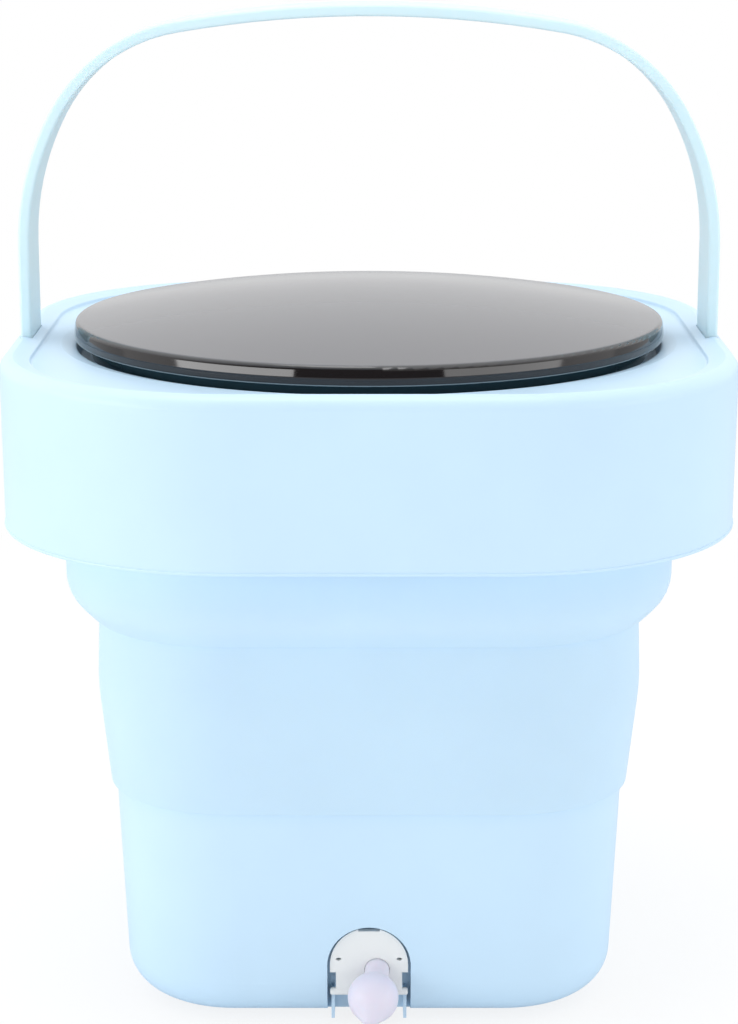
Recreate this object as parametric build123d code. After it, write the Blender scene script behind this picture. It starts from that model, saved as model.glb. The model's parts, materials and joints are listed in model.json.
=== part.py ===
"""Foldable washing machine: base with a drive, folding bucket wall, head with a mouth, lid and handle.

Millimetres. The origin is on the floor under the middle of the base, +Z is up and the drain is at -Y.
"""
from math import cos, hypot, radians, sin, sqrt
import os

from build123d import *

# Plan: walls follow rounded squares whose corner arcs are centred this far out on X and Y
TUB_CORNER = 50.0
HEAD_CORNER = 46.5

# Heights of the main stack, from the floor up
FOOT_DROP = 1.5
BASE_HEIGHT = 82.5
BELLOWS_HEIGHT = 99.0
HEAD_HEIGHT = 62.2

BASE_Z = FOOT_DROP
SEAM_Z = BASE_Z + BASE_HEIGHT
HEAD_Z = SEAM_Z + BELLOWS_HEIGHT
CREST_Z = HEAD_Z + HEAD_HEIGHT

# Clearances
SLIP = 0.1
RUNNING = 0.05
BODY_GAP = 0.3

# Base housing
BASE_HALF = 95.0
BASE_LEAN = 0.046
BASE_ROUND = 15.5
BASE_WALL = 2.5
BASE_FLOOR = 2.5
LEDGE_WIDTH = 4.0
LEDGE_HEIGHT = 2.5

# Tub pan, the hard floor of the wash tub
PAN_WALL = 2.5
PAN_INSET = 11.0
PAN_FLANGE = 6.0
PAN_DEPTH = 37.5
PAN_ROUND = 12.0

# Feet and the screws under them
FOOT_INSET = 37.2
FOOT_RADIUS = 8.0
FOOT_SEAT = 1.5
POST_RADIUS = 6.0
POST_HEIGHT = 10.0
POST_WEB = 3.0
PAN_BOSS_RADIUS = 5.0
PAN_SCREW_BITE = 14.0

# Drive
SHAFT_RADIUS = 4.0
BEARING_RADIUS = 8.5
BEARING_LENGTH = 5.0
SEAL_LENGTH = 3.5
HUB_RADIUS = 13.0
HUB_LIP = 1.5
MOTOR_RADIUS = 26.0
MOTOR_LENGTH = 31.0
PLATE_THICKNESS = 2.0
PLATE_RADIUS = 36.0
PLATE_BOSS_CIRCLE = 31.0
PLATE_BOSS_RADIUS = 4.0
PLATE_BOSS_HEIGHT = 3.0
MOTOR_SCREW_CIRCLE = 16.0
MOTOR_SCREW_BITE = 6.0
PLATE_SCREW_BITE = 4.0
SHAFT_DEPTH = 14.0
TERMINAL_SIZE = 8.0
TERMINAL_X = 8.0
TERMINAL_PROUD = 4.0

# Pulsator
PULSATOR_RADIUS = 60.0
PULSATOR_WALL = 3.0
PULSATOR_LIFT = 3.0
PULSATOR_SKIRT = 8.0
FIN_COUNT = 6
FIN_THICKNESS = 4.0
FIN_HEIGHT = 9.5
PULSATOR_HUB_RADIUS = 9.0
PULSATOR_SCREW_BITE = 9.0

# Drain port in the front of the base
PORT_HALF = 15.4
PORT_SPRING_Z = 23.7
PORT_DEPTH = 13.0
PORT_WALL = 2.5
PORT_RIB = 1.2
PORT_RIB_INSET = 2.1
DRAIN_X = 3.0
DRAIN_Z = 21.6
SUMP_SETBACK = 14.7
STRAINER_RADIUS = 8.0
ELBOW_BORE = 4.6
ELBOW_WALL = 1.6
ELBOW_BEND = 12.0
DRAIN_PLATE_SETBACK = 1.0
DRAIN_PLATE_THICKNESS = 2.6
DRAIN_PLATE_FOOT_Z = 13.6
DRAIN_BAR_RADIUS = 1.4
SPOUT_DROP = 34.0
SPOUT_TURN = 9.0
SPOUT_RADIUS = 4.4
SPOUT_BORE = 3.0
SPOUT_REACH = 13.5
CAP_BULB_RADIUS = 9.3
CAP_BULB_PLACE = 11.4
CAP_MOUTH_RADIUS = 6.0
CAP_TIP_RADIUS = 1.7

# Control panel in the rear of the base
PANEL_HALF = 30.0
PANEL_LOW_Z = 16.0
PANEL_HIGH_Z = 38.0
PANEL_FACE = 4.0
PANEL_FLANGE = 2.0
PANEL_LIP = 2.0
PANEL_ROUND = 4.0
PANEL_PROUD = 0.2
BOARD_THICKNESS = 1.6
BOARD_STANDOFF = 5.3
BUTTON_X = -16.0
BUTTON_RADIUS = 7.0
BUTTON_TRAVEL = 1.0
BUTTON_PROUD = 1.4
SOCKET_X = 17.0
SOCKET_RADIUS = 4.0
SOCKET_BORE = 2.8
SOCKET_DEPTH = 9.0
LENS_RADIUS = 1.5
LEAD_RADIUS = 1.2

# Bellows, the folding bucket wall
BELLOWS_WALL = 2.4
BELLOWS_FOOT_PROUD = 2.0
BELLOWS_WAIST_PROUD = 6.2
BELLOWS_WAIST_RISE = 38.0
BELLOWS_WAIST_ROUND = 80.0
BELLOWS_ROOT_PROUD = 5.3
BELLOWS_ROOT_RISE = 64.7
BELLOWS_TIER_PROUD = 17.0
BELLOWS_STEP_FLAT = 2.2
BELLOWS_STEP_ROUND = 16.0
BELLOWS_FLANGE = 3.0
FLANGE_WIDTH = 10.5
CLAMP_SCREW_OFFSETS = (-36.0, 0.0, 36.0)
CLAMP_SCREW_INSET = 4.2
CLAMP_SCREW_BITE = 4.0
LOWER_CLAMP_THICKNESS = 2.5

# Head shell
HEAD_ROOM = 11.5
HEAD_FLARE = 0.6
HEAD_WALL = 2.2
HEAD_SHOULDER = 5.0
RIM_WIDTH = 10.4
RIM_STEP = 2.9
RIM_FALL = 1.5
RIM_LEAN = 0.6
RIM_BREAK = 0.6
DECK_THICKNESS = 2.4
BOWL_DEPTH = 6.1
BOWL_RUN = 10.5
SEAT_WIDTH = 6.0
MOUTH_INSET = 11.5
NECK_WALL = 2.5
LINER_DROP = 9.2
LINER_THICKNESS = 3.0
CLAMP_THICKNESS = 3.0
HEAD_BASE_THICKNESS = 3.5
COLUMN_RADIUS = 4.0
COLUMN_OFFSETS = (-56.0, 56.0)
COLUMN_SCREW_BITE = 10.0
LINER_SCREW_OFFSETS = (-40.0, 40.0)
LINER_SCREW_BITE = 7.0

# Handle
HANDLE_SETBACK = 6.8
HANDLE_THICKNESS = 4.3
HANDLE_WIDTH = 30.0
HANDLE_STRAIGHT = 33.3
HANDLE_HAUNCH_RADIUS = 100.0
HANDLE_HAUNCH_ANGLE = 29.0
HANDLE_SHOULDER_RADIUS = 62.0
HANDLE_SHOULDER_ANGLE = 80.3
HANDLE_EDGE = 1.0
HANDLE_INSERT = 12.6
HANDLE_TRAVEL = 38.0
CATCH_HALF = 6.0
CATCH_HEIGHT = 6.5
CATCH_REACH = 3.6
GUIDE_WALL = 1.7
GUIDE_FOOT = 10.0
GUIDE_FOOT_HEIGHT = 5.0
GUIDE_SCREW_OFFSET = 6.0
GUIDE_SCREW_BITE = 4.0
CATCH_SCREW_OFFSET = 3.5

# Lid
LID_OVERHANG = 5.6
LID_EDGE_RISE = 5.9
LID_DOME = 10.8
LID_WALL = 3.0
LID_RIM = 7.0
LID_RIM_LEAN = 0.65
LID_RIM_KNEE = 2.1
LID_RIM_TUCK = 0.45
LID_COLLAR_ROOM = 0.9
LID_COLLAR_FLARE = 1.0
LID_COLLAR_WALL = 2.2
LID_COLLAR_DROP = 6.9
LID_PLUG_WALL = 2.2
LID_PLUG_DEPTH = 5.0
LID_PLUG_GAP = 0.7
LID_SHOULDER_ROOM = 0.2
LID_SEAL_HEIGHT = 2.0
LID_SEAL_WIDTH = 2.4
LID_SCREW_INSET = 9.8
LID_SCREW_BITE = 7.0
LID_BOSS_RADIUS = 3.2

# Screws: shank radius, head radius, head height
SMALL_SCREW = (1.0, 1.9, 1.3)
MEDIUM_SCREW = (1.4, 2.6, 1.5)
LARGE_SCREW = (1.75, 3.4, 2.4)
PILOT_SPARE = 1.0
BOARD_SCREW_BITE = 4.0

# Levels worked out from the sizes above
PAN_FLOOR_Z = SEAM_Z - PAN_DEPTH
PAN_UNDER_Z = PAN_FLOOR_Z - PAN_WALL
HUB_TOP_Z = PAN_UNDER_Z + HUB_LIP + BEARING_LENGTH + SEAL_LENGTH
PLATE_TOP_Z = PAN_UNDER_Z - PLATE_BOSS_HEIGHT
MOTOR_TOP_Z = PLATE_TOP_Z - PLATE_THICKNESS
TERMINAL_END_Y = MOTOR_RADIUS + TERMINAL_PROUD
DECK_Z = CREST_Z - RIM_STEP
BOWL_Z = DECK_Z - BOWL_DEPTH
LINER_TOP_Z = BOWL_Z - LINER_DROP
LINER_Z = LINER_TOP_Z - LINER_THICKNESS
CLAMP_TOP_Z = LINER_Z - BELLOWS_FLANGE
CLAMP_Z = CLAMP_TOP_Z - CLAMP_THICKNESS
LID_EDGE_Z = CREST_Z + LID_EDGE_RISE
LID_PLUG_Z = BOWL_Z + BODY_GAP + LID_SEAL_HEIGHT
LEG_LOW_Z = CREST_Z - HANDLE_INSERT

# Half widths and radii worked out from the base outwards, then in to the mouth and out to the lid's edge
BELLOWS_FOOT_HALF = BASE_HALF + BELLOWS_FOOT_PROUD
BELLOWS_WAIST_HALF = BASE_HALF + BELLOWS_WAIST_PROUD
BELLOWS_ROOT_HALF = BASE_HALF + BELLOWS_ROOT_PROUD
BELLOWS_TIER_HALF = BASE_HALF + BELLOWS_TIER_PROUD
FLANGE_HALF = BELLOWS_TIER_HALF + FLANGE_WIDTH
HEAD_HALF = FLANGE_HALF + HEAD_ROOM
HANDLE_INNER = HEAD_HALF - HANDLE_SETBACK
MOUTH_RADIUS = BELLOWS_TIER_HALF - MOUTH_INSET
SEAT_RADIUS = MOUTH_RADIUS + SEAT_WIDTH
BOWL_RADIUS = SEAT_RADIUS + BOWL_RUN
LID_COLLAR_FOOT = SEAT_RADIUS - LID_COLLAR_ROOM
LID_COLLAR_TOP = LID_COLLAR_FOOT + LID_COLLAR_FLARE
LID_RADIUS = LID_COLLAR_TOP + LID_OVERHANG
LID_EDGE_RADIUS = LID_RADIUS - LID_RIM_LEAN
LID_SHOULDER_RADIUS = LID_COLLAR_FOOT - LID_COLLAR_WALL - LID_SHOULDER_ROOM
LID_PLUG_RADIUS = MOUTH_RADIUS - LID_PLUG_GAP
LID_SCREW_CIRCLE = LID_PLUG_RADIUS - LID_SCREW_INSET


def block(x_low, x_high, y_low, y_high, z_low, z_high):
    """Box between two corners."""
    centre = Pos((x_low + x_high) / 2, (y_low + y_high) / 2, (z_low + z_high) / 2)
    return centre * Box(x_high - x_low, y_high - y_low, z_high - z_low)


def rod(start, end, radius):
    """Round bar between two points."""
    line = Vector(end) - Vector(start)
    bar = Pos(0, 0, line.length / 2) * Cylinder(radius, line.length)
    return Plane(origin=start, z_dir=line) * bar


def post(x, y, z_low, z_high, radius):
    """Upright round bar."""
    return rod((x, y, z_low), (x, y, z_high), radius)


def screw(seat, axis, size, length):
    """Screw whose head stands on the seat and whose shank runs along the axis."""
    shank_radius, head_radius, head_height = size
    head = Pos(0, 0, -head_height / 2) * Cylinder(head_radius, head_height)
    shank = Pos(0, 0, length / 2) * Cylinder(shank_radius, length)
    socket = Pos(0, 0, -head_height) * extrude(RegularPolygon(head_radius / 2, 6), head_height / 2)
    return Plane(origin=seat, z_dir=axis) * (head + shank - socket)


def outline(points, rounds=()):
    """Closed flat outline through corner points; rounds lists corners with their radii."""
    face = make_face(Polyline(*points, close=True)).face()
    for corner, radius in rounds:
        vertex = face.vertices().sort_by_distance(corner)[0]
        face = face.fillet_2d(radius, [vertex])
    return face


def square_ring(face, centre=TUB_CORNER):
    """Carry an outline of half width and height round the rounded square of the plan."""
    facing_front = {"x_dir": (1, 0, 0), "z_dir": (0, -1, 0)}
    side = extrude(Plane((0, centre, 0), **facing_front) * face, 2 * centre)
    corner = revolve(Plane((0, -centre, 0), **facing_front) * face, Axis((centre, -centre, 0), (0, 0, -1)), 90)
    quarter = side + corner
    return quarter + [Rot(0, 0, turn) * quarter for turn in (90, 180, 270)]


def square_block(points, rounds=(), centre=TUB_CORNER):
    """As square_ring, with the outline closed at the corner centres and the middle filled."""
    low_z = points[0][1]
    high_z = points[-1][1]
    face = outline([(centre, low_z), *points, (centre, high_z)], rounds)
    return square_ring(face, centre) + block(-centre, centre, -centre, centre, low_z, high_z)


def square_plate(half, z_low, z_high, centre=TUB_CORNER):
    """Flat plate with a rounded-square outline."""
    return square_block([(half, z_low), (half, z_high)], centre=centre)


def turned(face):
    """Turn an outline of radius and height about the Z axis."""
    return revolve(Plane.XZ * face, Axis.Z)


def tube(inner_radius, outer_radius, z_low, z_high):
    """Upright round tube on the Z axis."""
    ring = [(inner_radius, z_low), (outer_radius, z_low), (outer_radius, z_high), (inner_radius, z_high)]
    return turned(outline(ring))


def on_sides(half, offsets):
    """Places at a half width on all four sides, at offsets along each side."""
    places = [Vector(half, offset).rotate(Axis.Z, 90 * turn) for turn in range(4) for offset in offsets]
    return [(place.X, place.Y) for place in places]


def on_circle(radius, count, start=0.0):
    """Places evenly round a circle."""
    angles = [radians(start + 360 * turn / count) for turn in range(count)]
    return [(radius * cos(angle), radius * sin(angle)) for angle in angles]


def four_corners(place):
    """The same place in each quarter of the plan."""
    return [(x, y) for x in (-place, place) for y in (-place, place)]


def drill(body, places, z_low, z_high, radius):
    """Cut upright round holes."""
    return body - [post(x, y, z_low, z_high, radius) for x, y in places]


def screws_up(places, seat_z, size, length):
    """Group of like screws driven upwards."""
    return Compound([screw((x, y, seat_z), (0, 0, 1), size, length).solid() for x, y in places])


def screws_down(places, seat_z, size, length):
    """Group of like screws driven downwards."""
    return Compound([screw((x, y, seat_z), (0, 0, -1), size, length).solid() for x, y in places])


def from_front(face, y_front, depth):
    """Extrude an outline of X and Z backwards from a front plane."""
    return extrude(Plane((0, y_front, 0), x_dir=(1, 0, 0), z_dir=(0, -1, 0)) * face, -depth)


def base_half(z):
    """Half width of the base housing at a height."""
    return BASE_HALF - BASE_LEAN * (SEAM_Z - z)


def base_form(inset, low_z, high_z, corner):
    """Filled form of the base housing, drawn in by an inset."""
    foot = (base_half(low_z) - inset, low_z)
    return square_block([foot, (base_half(high_z) - inset, high_z)], [(foot, corner)])


def port_arch(margin, low_z):
    """Outline of the drain port: straight sides under a half-round top."""
    half = PORT_HALF + margin
    legs = Pos(0, (PORT_SPRING_Z + low_z) / 2) * Rectangle(2 * half, PORT_SPRING_Z - low_z)
    return legs + Pos(0, PORT_SPRING_Z) * Circle(half)


FOOT_PLACE = base_half(BASE_Z) - FOOT_INSET
PORT_FRONT_Y = -base_half(PORT_SPRING_Z)
PORT_BACK_Y = PORT_FRONT_Y + PORT_DEPTH
PORT_INNER_Y = PORT_BACK_Y + PORT_WALL
SUMP_Y = PORT_INNER_Y + SUMP_SETBACK
PLATE_FRONT_Y = PORT_FRONT_Y + DRAIN_PLATE_SETBACK
PLATE_BACK_Y = PLATE_FRONT_Y + DRAIN_PLATE_THICKNESS
PEG_PLACES = [(-8.0, 32.0), (8.0, 32.0)]
PEG_RADIUS = 2.0
ELBOW_END_Y = PLATE_BACK_Y + 2.5

PANEL_FRONT_Y = base_half(PANEL_HIGH_Z) + PANEL_PROUD
PANEL_SHOULDER_Y = PANEL_FRONT_Y - PANEL_FACE
PANEL_BACK_Y = PANEL_SHOULDER_Y - PANEL_FLANGE
PANEL_MIDDLE_Z = (PANEL_LOW_Z + PANEL_HIGH_Z) / 2
BOARD_FRONT_Y = PANEL_BACK_Y - BOARD_STANDOFF
BOARD_BACK_Y = BOARD_FRONT_Y - BOARD_THICKNESS
BOARD_HALF = PANEL_HALF + PANEL_LIP
BOARD_SCREW_PLACES = [(x, PANEL_MIDDLE_Z + dz) for x in (-28.0, 28.0) for dz in (-9.0, 9.0)]


def rounded_panel(half, low_z, high_z, corner):
    """Outline of a panel with rounded corners, in X and Z."""
    return Pos(0, (low_z + high_z) / 2) * RectangleRounded(2 * half, high_z - low_z, corner)


def base_shell():
    """Moulded bowl that holds the drive, with the drain port in front and a window behind."""
    outer = base_form(0, BASE_Z, SEAM_Z, BASE_ROUND)
    cavity = base_form(BASE_WALL, BASE_Z + BASE_FLOOR, SEAM_Z + 1, BASE_ROUND - BASE_WALL)
    ledge_top = SEAM_Z - PAN_FLANGE
    ledge_low = ledge_top - LEDGE_HEIGHT
    wall_middle = base_half(ledge_low) - BASE_WALL / 2
    ledge_half = base_half(ledge_top) - BASE_WALL - LEDGE_WIDTH
    slope = [(ledge_half, ledge_top - 1), (wall_middle, ledge_low - LEDGE_WIDTH / 2)]
    ledge = square_ring(outline([*slope, (wall_middle, ledge_top), (ledge_half, ledge_top)]))
    pocket_depth = PORT_INNER_Y + BASE_HALF
    pocket = from_front(port_arch(PORT_WALL, BASE_Z), -BASE_HALF, pocket_depth) & outer
    shell = outer - cavity + ledge + pocket
    shell -= from_front(port_arch(0, -BASE_ROUND), -BASE_HALF - 1, PORT_BACK_Y + BASE_HALF + 1)
    feet = four_corners(FOOT_PLACE)
    floor_top = BASE_Z + BASE_FLOOR
    shell += [post(x, y, BASE_Z + 1, floor_top + POST_HEIGHT, POST_RADIUS) for x, y in feet]
    shank, head, head_height = LARGE_SCREW
    shell = drill(shell, feet, 0, BASE_Z + FOOT_SEAT, FOOT_RADIUS + RUNNING)
    shell = drill(shell, feet, BASE_Z, floor_top + POST_HEIGHT - POST_WEB, head + SLIP)
    shell = drill(shell, feet, BASE_Z, SEAM_Z, shank + SLIP)
    window = rounded_panel(PANEL_HALF + SLIP, PANEL_LOW_Z - SLIP, PANEL_HIGH_Z + SLIP, PANEL_ROUND)
    shell -= from_front(window, PANEL_BACK_Y, BASE_HALF + 1 - PANEL_BACK_Y)
    for x, z in PEG_PLACES:
        shell -= rod((x, PORT_BACK_Y - 1, z), (x, PORT_INNER_Y + 1, z), PEG_RADIUS + RUNNING)
    rib_y = (PLATE_BACK_Y + SLIP, PORT_BACK_Y + 1)
    rib_top = DRAIN_PLATE_FOOT_Z - 2.5
    rib_x = PORT_HALF - PORT_RIB_INSET
    rib_half = PORT_RIB / 2
    shell += [block(x - rib_half, x + rib_half, *rib_y, BASE_Z, rib_top) for x in (-rib_x, rib_x)]
    elbow_radius = ELBOW_BORE + ELBOW_WALL + SLIP
    elbow_hole = rod((DRAIN_X, PORT_BACK_Y - 1, DRAIN_Z), (DRAIN_X, PORT_INNER_Y + 1, DRAIN_Z), elbow_radius)
    return shell - elbow_hole


def pan_half(z):
    """Half width of the wash tub's inner wall at a height."""
    return base_half(z) - PAN_INSET


def tub_pan():
    """Hard lower tub: floor with a shaft hub, sump and bosses, and a flange at the rim."""
    flange_z = SEAM_Z - PAN_FLANGE
    flange_half = base_half(flange_z) - BASE_WALL - BODY_GAP
    under = (pan_half(PAN_UNDER_Z) + PAN_WALL, PAN_UNDER_Z)
    floor = (pan_half(PAN_FLOOR_Z), PAN_FLOOR_Z)
    outer = [(TUB_CORNER, PAN_UNDER_Z), under, (pan_half(flange_z) + PAN_WALL, flange_z)]
    flange = [(flange_half, flange_z), (flange_half, SEAM_Z), (pan_half(SEAM_Z), SEAM_Z)]
    rounds = [(under, PAN_ROUND + PAN_WALL), (floor, PAN_ROUND)]
    wall = square_ring(outline([*outer, *flange, floor, (TUB_CORNER, PAN_FLOOR_Z)], rounds))
    middle = (-TUB_CORNER, TUB_CORNER, -TUB_CORNER, TUB_CORNER)
    pan = wall + block(*middle, PAN_UNDER_Z, PAN_FLOOR_Z)
    pan += post(0, 0, PAN_UNDER_Z, HUB_TOP_Z, HUB_RADIUS)
    feet = four_corners(FOOT_PLACE)
    boss_low = BASE_Z + BASE_FLOOR + POST_HEIGHT
    plate_bosses = on_circle(PLATE_BOSS_CIRCLE, 4, 45)
    pan += [post(x, y, boss_low, PAN_UNDER_Z + 1, PAN_BOSS_RADIUS) for x, y in feet]
    pan += [post(x, y, PLATE_TOP_Z, PAN_UNDER_Z + 1, PLATE_BOSS_RADIUS) for x, y in plate_bosses]
    pan = drill(pan, [(0, 0)], PAN_UNDER_Z + HUB_LIP, HUB_TOP_Z + 1, BEARING_RADIUS)
    pan = drill(pan, [(0, 0)], PAN_UNDER_Z - 1, HUB_TOP_Z, BEARING_RADIUS - 2)
    pilot_top = boss_low + PAN_SCREW_BITE + 2 * PILOT_SPARE
    pan = drill(pan, feet, boss_low - 1, pilot_top, LARGE_SCREW[0] + RUNNING)
    pilot = MEDIUM_SCREW[0] + RUNNING
    pan = drill(pan, plate_bosses, PLATE_TOP_Z - 1, PAN_FLOOR_Z - 1, pilot)
    sump = [(DRAIN_X, SUMP_Y)]
    pan = drill(pan, sump, PAN_UNDER_Z - 1, PAN_FLOOR_Z, ELBOW_BORE + 0.6)
    pan = drill(pan, sump, PAN_FLOOR_Z - 1.2, PAN_FLOOR_Z + 1, STRAINER_RADIUS + SLIP)
    return drill(pan, CLAMP_SCREWS, SEAM_Z - CLAMP_SCREW_BITE - PILOT_SPARE, SEAM_Z + 1, pilot)


CLAMP_SCREWS = on_sides(pan_half(SEAM_Z) + CLAMP_SCREW_INSET, CLAMP_SCREW_OFFSETS)


def base_feet():
    """Four rubber plugs that cover the housing screws and stand on the floor."""
    feet = [post(x, y, 0, BASE_Z + FOOT_SEAT, FOOT_RADIUS) for x, y in four_corners(FOOT_PLACE)]
    return Compound([fillet(foot.edges().sort_by(Axis.Z)[0], 0.6).solid() for foot in feet])


def drive():
    """Motor under the pan, its mounting plate, and the shaft's bearing and seal in the hub."""
    motor = post(0, 0, MOTOR_TOP_Z - MOTOR_LENGTH, MOTOR_TOP_Z, MOTOR_RADIUS)
    motor = fillet(motor.edges().sort_by(Axis.Z)[0], 2.5)
    motor += post(0, 0, MOTOR_TOP_Z - MOTOR_LENGTH - 2, MOTOR_TOP_Z - 1, 10)
    terminal_z = MOTOR_TOP_Z - MOTOR_LENGTH / 2
    half = TERMINAL_SIZE / 2
    terminal_y = (MOTOR_RADIUS - TERMINAL_SIZE, TERMINAL_END_Y)
    motor += block(TERMINAL_X - half, TERMINAL_X + half, *terminal_y, terminal_z - half, terminal_z + half)
    motor -= post(0, 0, MOTOR_TOP_Z - SHAFT_DEPTH - PILOT_SPARE / 2, MOTOR_TOP_Z + 1, SHAFT_RADIUS + RUNNING)
    motor_screws = on_circle(MOTOR_SCREW_CIRCLE, 3, 90)
    pilot_z = MOTOR_TOP_Z - MOTOR_SCREW_BITE - PILOT_SPARE
    motor = drill(motor, motor_screws, pilot_z, MOTOR_TOP_Z + 1, MEDIUM_SCREW[0] + RUNNING)
    plate_bosses = on_circle(PLATE_BOSS_CIRCLE, 4, 45)
    plate = tube(SHAFT_RADIUS + 3, PLATE_RADIUS, MOTOR_TOP_Z, PLATE_TOP_Z)
    places = motor_screws + plate_bosses
    plate = drill(plate, places, MOTOR_TOP_Z - 1, PLATE_TOP_Z + 1, MEDIUM_SCREW[0] + SLIP)
    motor_length = PLATE_THICKNESS + MOTOR_SCREW_BITE
    plate_length = PLATE_THICKNESS + PLATE_SCREW_BITE
    bearing_z = PAN_UNDER_Z + HUB_LIP
    seal_z = bearing_z + BEARING_LENGTH
    return {
        "motor_body": motor,
        "motor_plate": plate,
        "motor_screws": screws_down(motor_screws, PLATE_TOP_Z, MEDIUM_SCREW, motor_length),
        "plate_screws": screws_up(plate_bosses, MOTOR_TOP_Z, MEDIUM_SCREW, plate_length),
        "shaft_bearing": tube(SHAFT_RADIUS + RUNNING, BEARING_RADIUS, bearing_z, seal_z),
        "shaft_seal": tube(SHAFT_RADIUS + RUNNING, BEARING_RADIUS, seal_z, HUB_TOP_Z),
    }


def pulsator():
    """Finned disc on the drive shaft that stirs the wash, with its screw and cap."""
    skirt_z = PAN_FLOOR_Z + PULSATOR_LIFT
    disc_z = skirt_z + PULSATOR_SKIRT
    top_z = disc_z + PULSATOR_WALL
    hub_low = HUB_TOP_Z + 1
    shaft_top = top_z
    web_top = shaft_top + 2
    hub_top = web_top + 3
    rim = (PULSATOR_RADIUS, top_z)
    inner = PULSATOR_RADIUS - PULSATOR_WALL
    under = [(inner, skirt_z), (inner, disc_z), (0, disc_z)]
    disc = turned(outline([(0, top_z), rim, (PULSATOR_RADIUS, skirt_z), *under], [(rim, 2.0)]))
    disc += post(0, 0, hub_low, hub_top, PULSATOR_HUB_RADIUS)
    fin_reach = PULSATOR_RADIUS - 8
    fin_high = top_z + FIN_HEIGHT
    fin_foot = [(7, top_z - 1), (fin_reach, top_z - 1), (fin_reach - 4, top_z + FIN_HEIGHT / 2)]
    fin_shape = [*fin_foot, (PULSATOR_HUB_RADIUS + 7, fin_high), (7, fin_high)]
    fin = extrude(Plane.XZ * outline(fin_shape), FIN_THICKNESS / 2, both=True)
    disc += [Rot(0, 0, 360 * turn / FIN_COUNT) * fin for turn in range(FIN_COUNT)]
    disc -= post(0, 0, hub_low - 1, shaft_top, SHAFT_RADIUS)
    disc -= post(0, 0, hub_low - 1, fin_high + 1, LARGE_SCREW[0] + SLIP)
    disc -= post(0, 0, web_top, fin_high + 1, LARGE_SCREW[1] + 1)
    disc -= post(0, 0, hub_top, fin_high + 1, PULSATOR_HUB_RADIUS)
    shaft = post(0, 0, MOTOR_TOP_Z - SHAFT_DEPTH, shaft_top, SHAFT_RADIUS)
    pilot_z = shaft_top - PULSATOR_SCREW_BITE - PILOT_SPARE
    shaft -= post(0, 0, pilot_z, shaft_top + 1, LARGE_SCREW[0] + RUNNING)
    plug = post(0, 0, hub_top - 0.5, hub_top, LARGE_SCREW[1] + 1 - RUNNING)
    dome = post(0, 0, hub_top, hub_top + 4, PULSATOR_HUB_RADIUS - 2 * SLIP)
    dome = fillet(dome.edges().sort_by(Axis.Z)[-1], 3.0)
    length = web_top - shaft_top + PULSATOR_SCREW_BITE
    return {
        "pulsator": disc,
        "drive_shaft": shaft,
        "pulsator_screw": screw((0, 0, web_top), (0, 0, -1), LARGE_SCREW, length).solid(),
        "pulsator_cap": plug + dome,
    }


def drain_line():
    """Drain from the sump: strainer, elbow under the pan, and the seal behind the drain plate."""
    sump_top = PAN_FLOOR_Z - 1.2
    outer = ELBOW_BORE + ELBOW_WALL
    corners = [(DRAIN_X, SUMP_Y, PAN_UNDER_Z), (DRAIN_X, SUMP_Y, DRAIN_Z), (DRAIN_X, ELBOW_END_Y, DRAIN_Z)]
    route = FilletPolyline(*corners, radius=ELBOW_BEND)
    mouth = Plane(origin=corners[0], z_dir=(0, 0, -1))
    elbow = sweep(mouth * (Circle(outer) - Circle(ELBOW_BORE)), path=route)
    flange = post(DRAIN_X, SUMP_Y, PAN_UNDER_Z - 2.5, PAN_UNDER_Z, outer + 3)
    spigot = post(DRAIN_X, SUMP_Y, PAN_UNDER_Z, sump_top, ELBOW_BORE + 0.5)
    elbow += (flange + spigot) - post(DRAIN_X, SUMP_Y, PAN_UNDER_Z - 5, sump_top + 1, ELBOW_BORE)
    strainer = post(DRAIN_X, SUMP_Y, sump_top, PAN_FLOOR_Z, STRAINER_RADIUS)
    slots = [(DRAIN_X, SUMP_Y)] + [(DRAIN_X + x, SUMP_Y + y) for x, y in on_circle(3.2, 6)]
    seal = rod((DRAIN_X, PLATE_BACK_Y, DRAIN_Z), (DRAIN_X, ELBOW_END_Y, DRAIN_Z), outer)
    seal -= rod((DRAIN_X, PLATE_BACK_Y - 1, DRAIN_Z), (DRAIN_X, ELBOW_END_Y + 1, DRAIN_Z), ELBOW_BORE)
    return {
        "drain_elbow": elbow,
        "drain_strainer": drill(strainer, slots, sump_top - 1, PAN_FLOOR_Z + 1, 1.0),
        "spout_seal": seal,
    }


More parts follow.
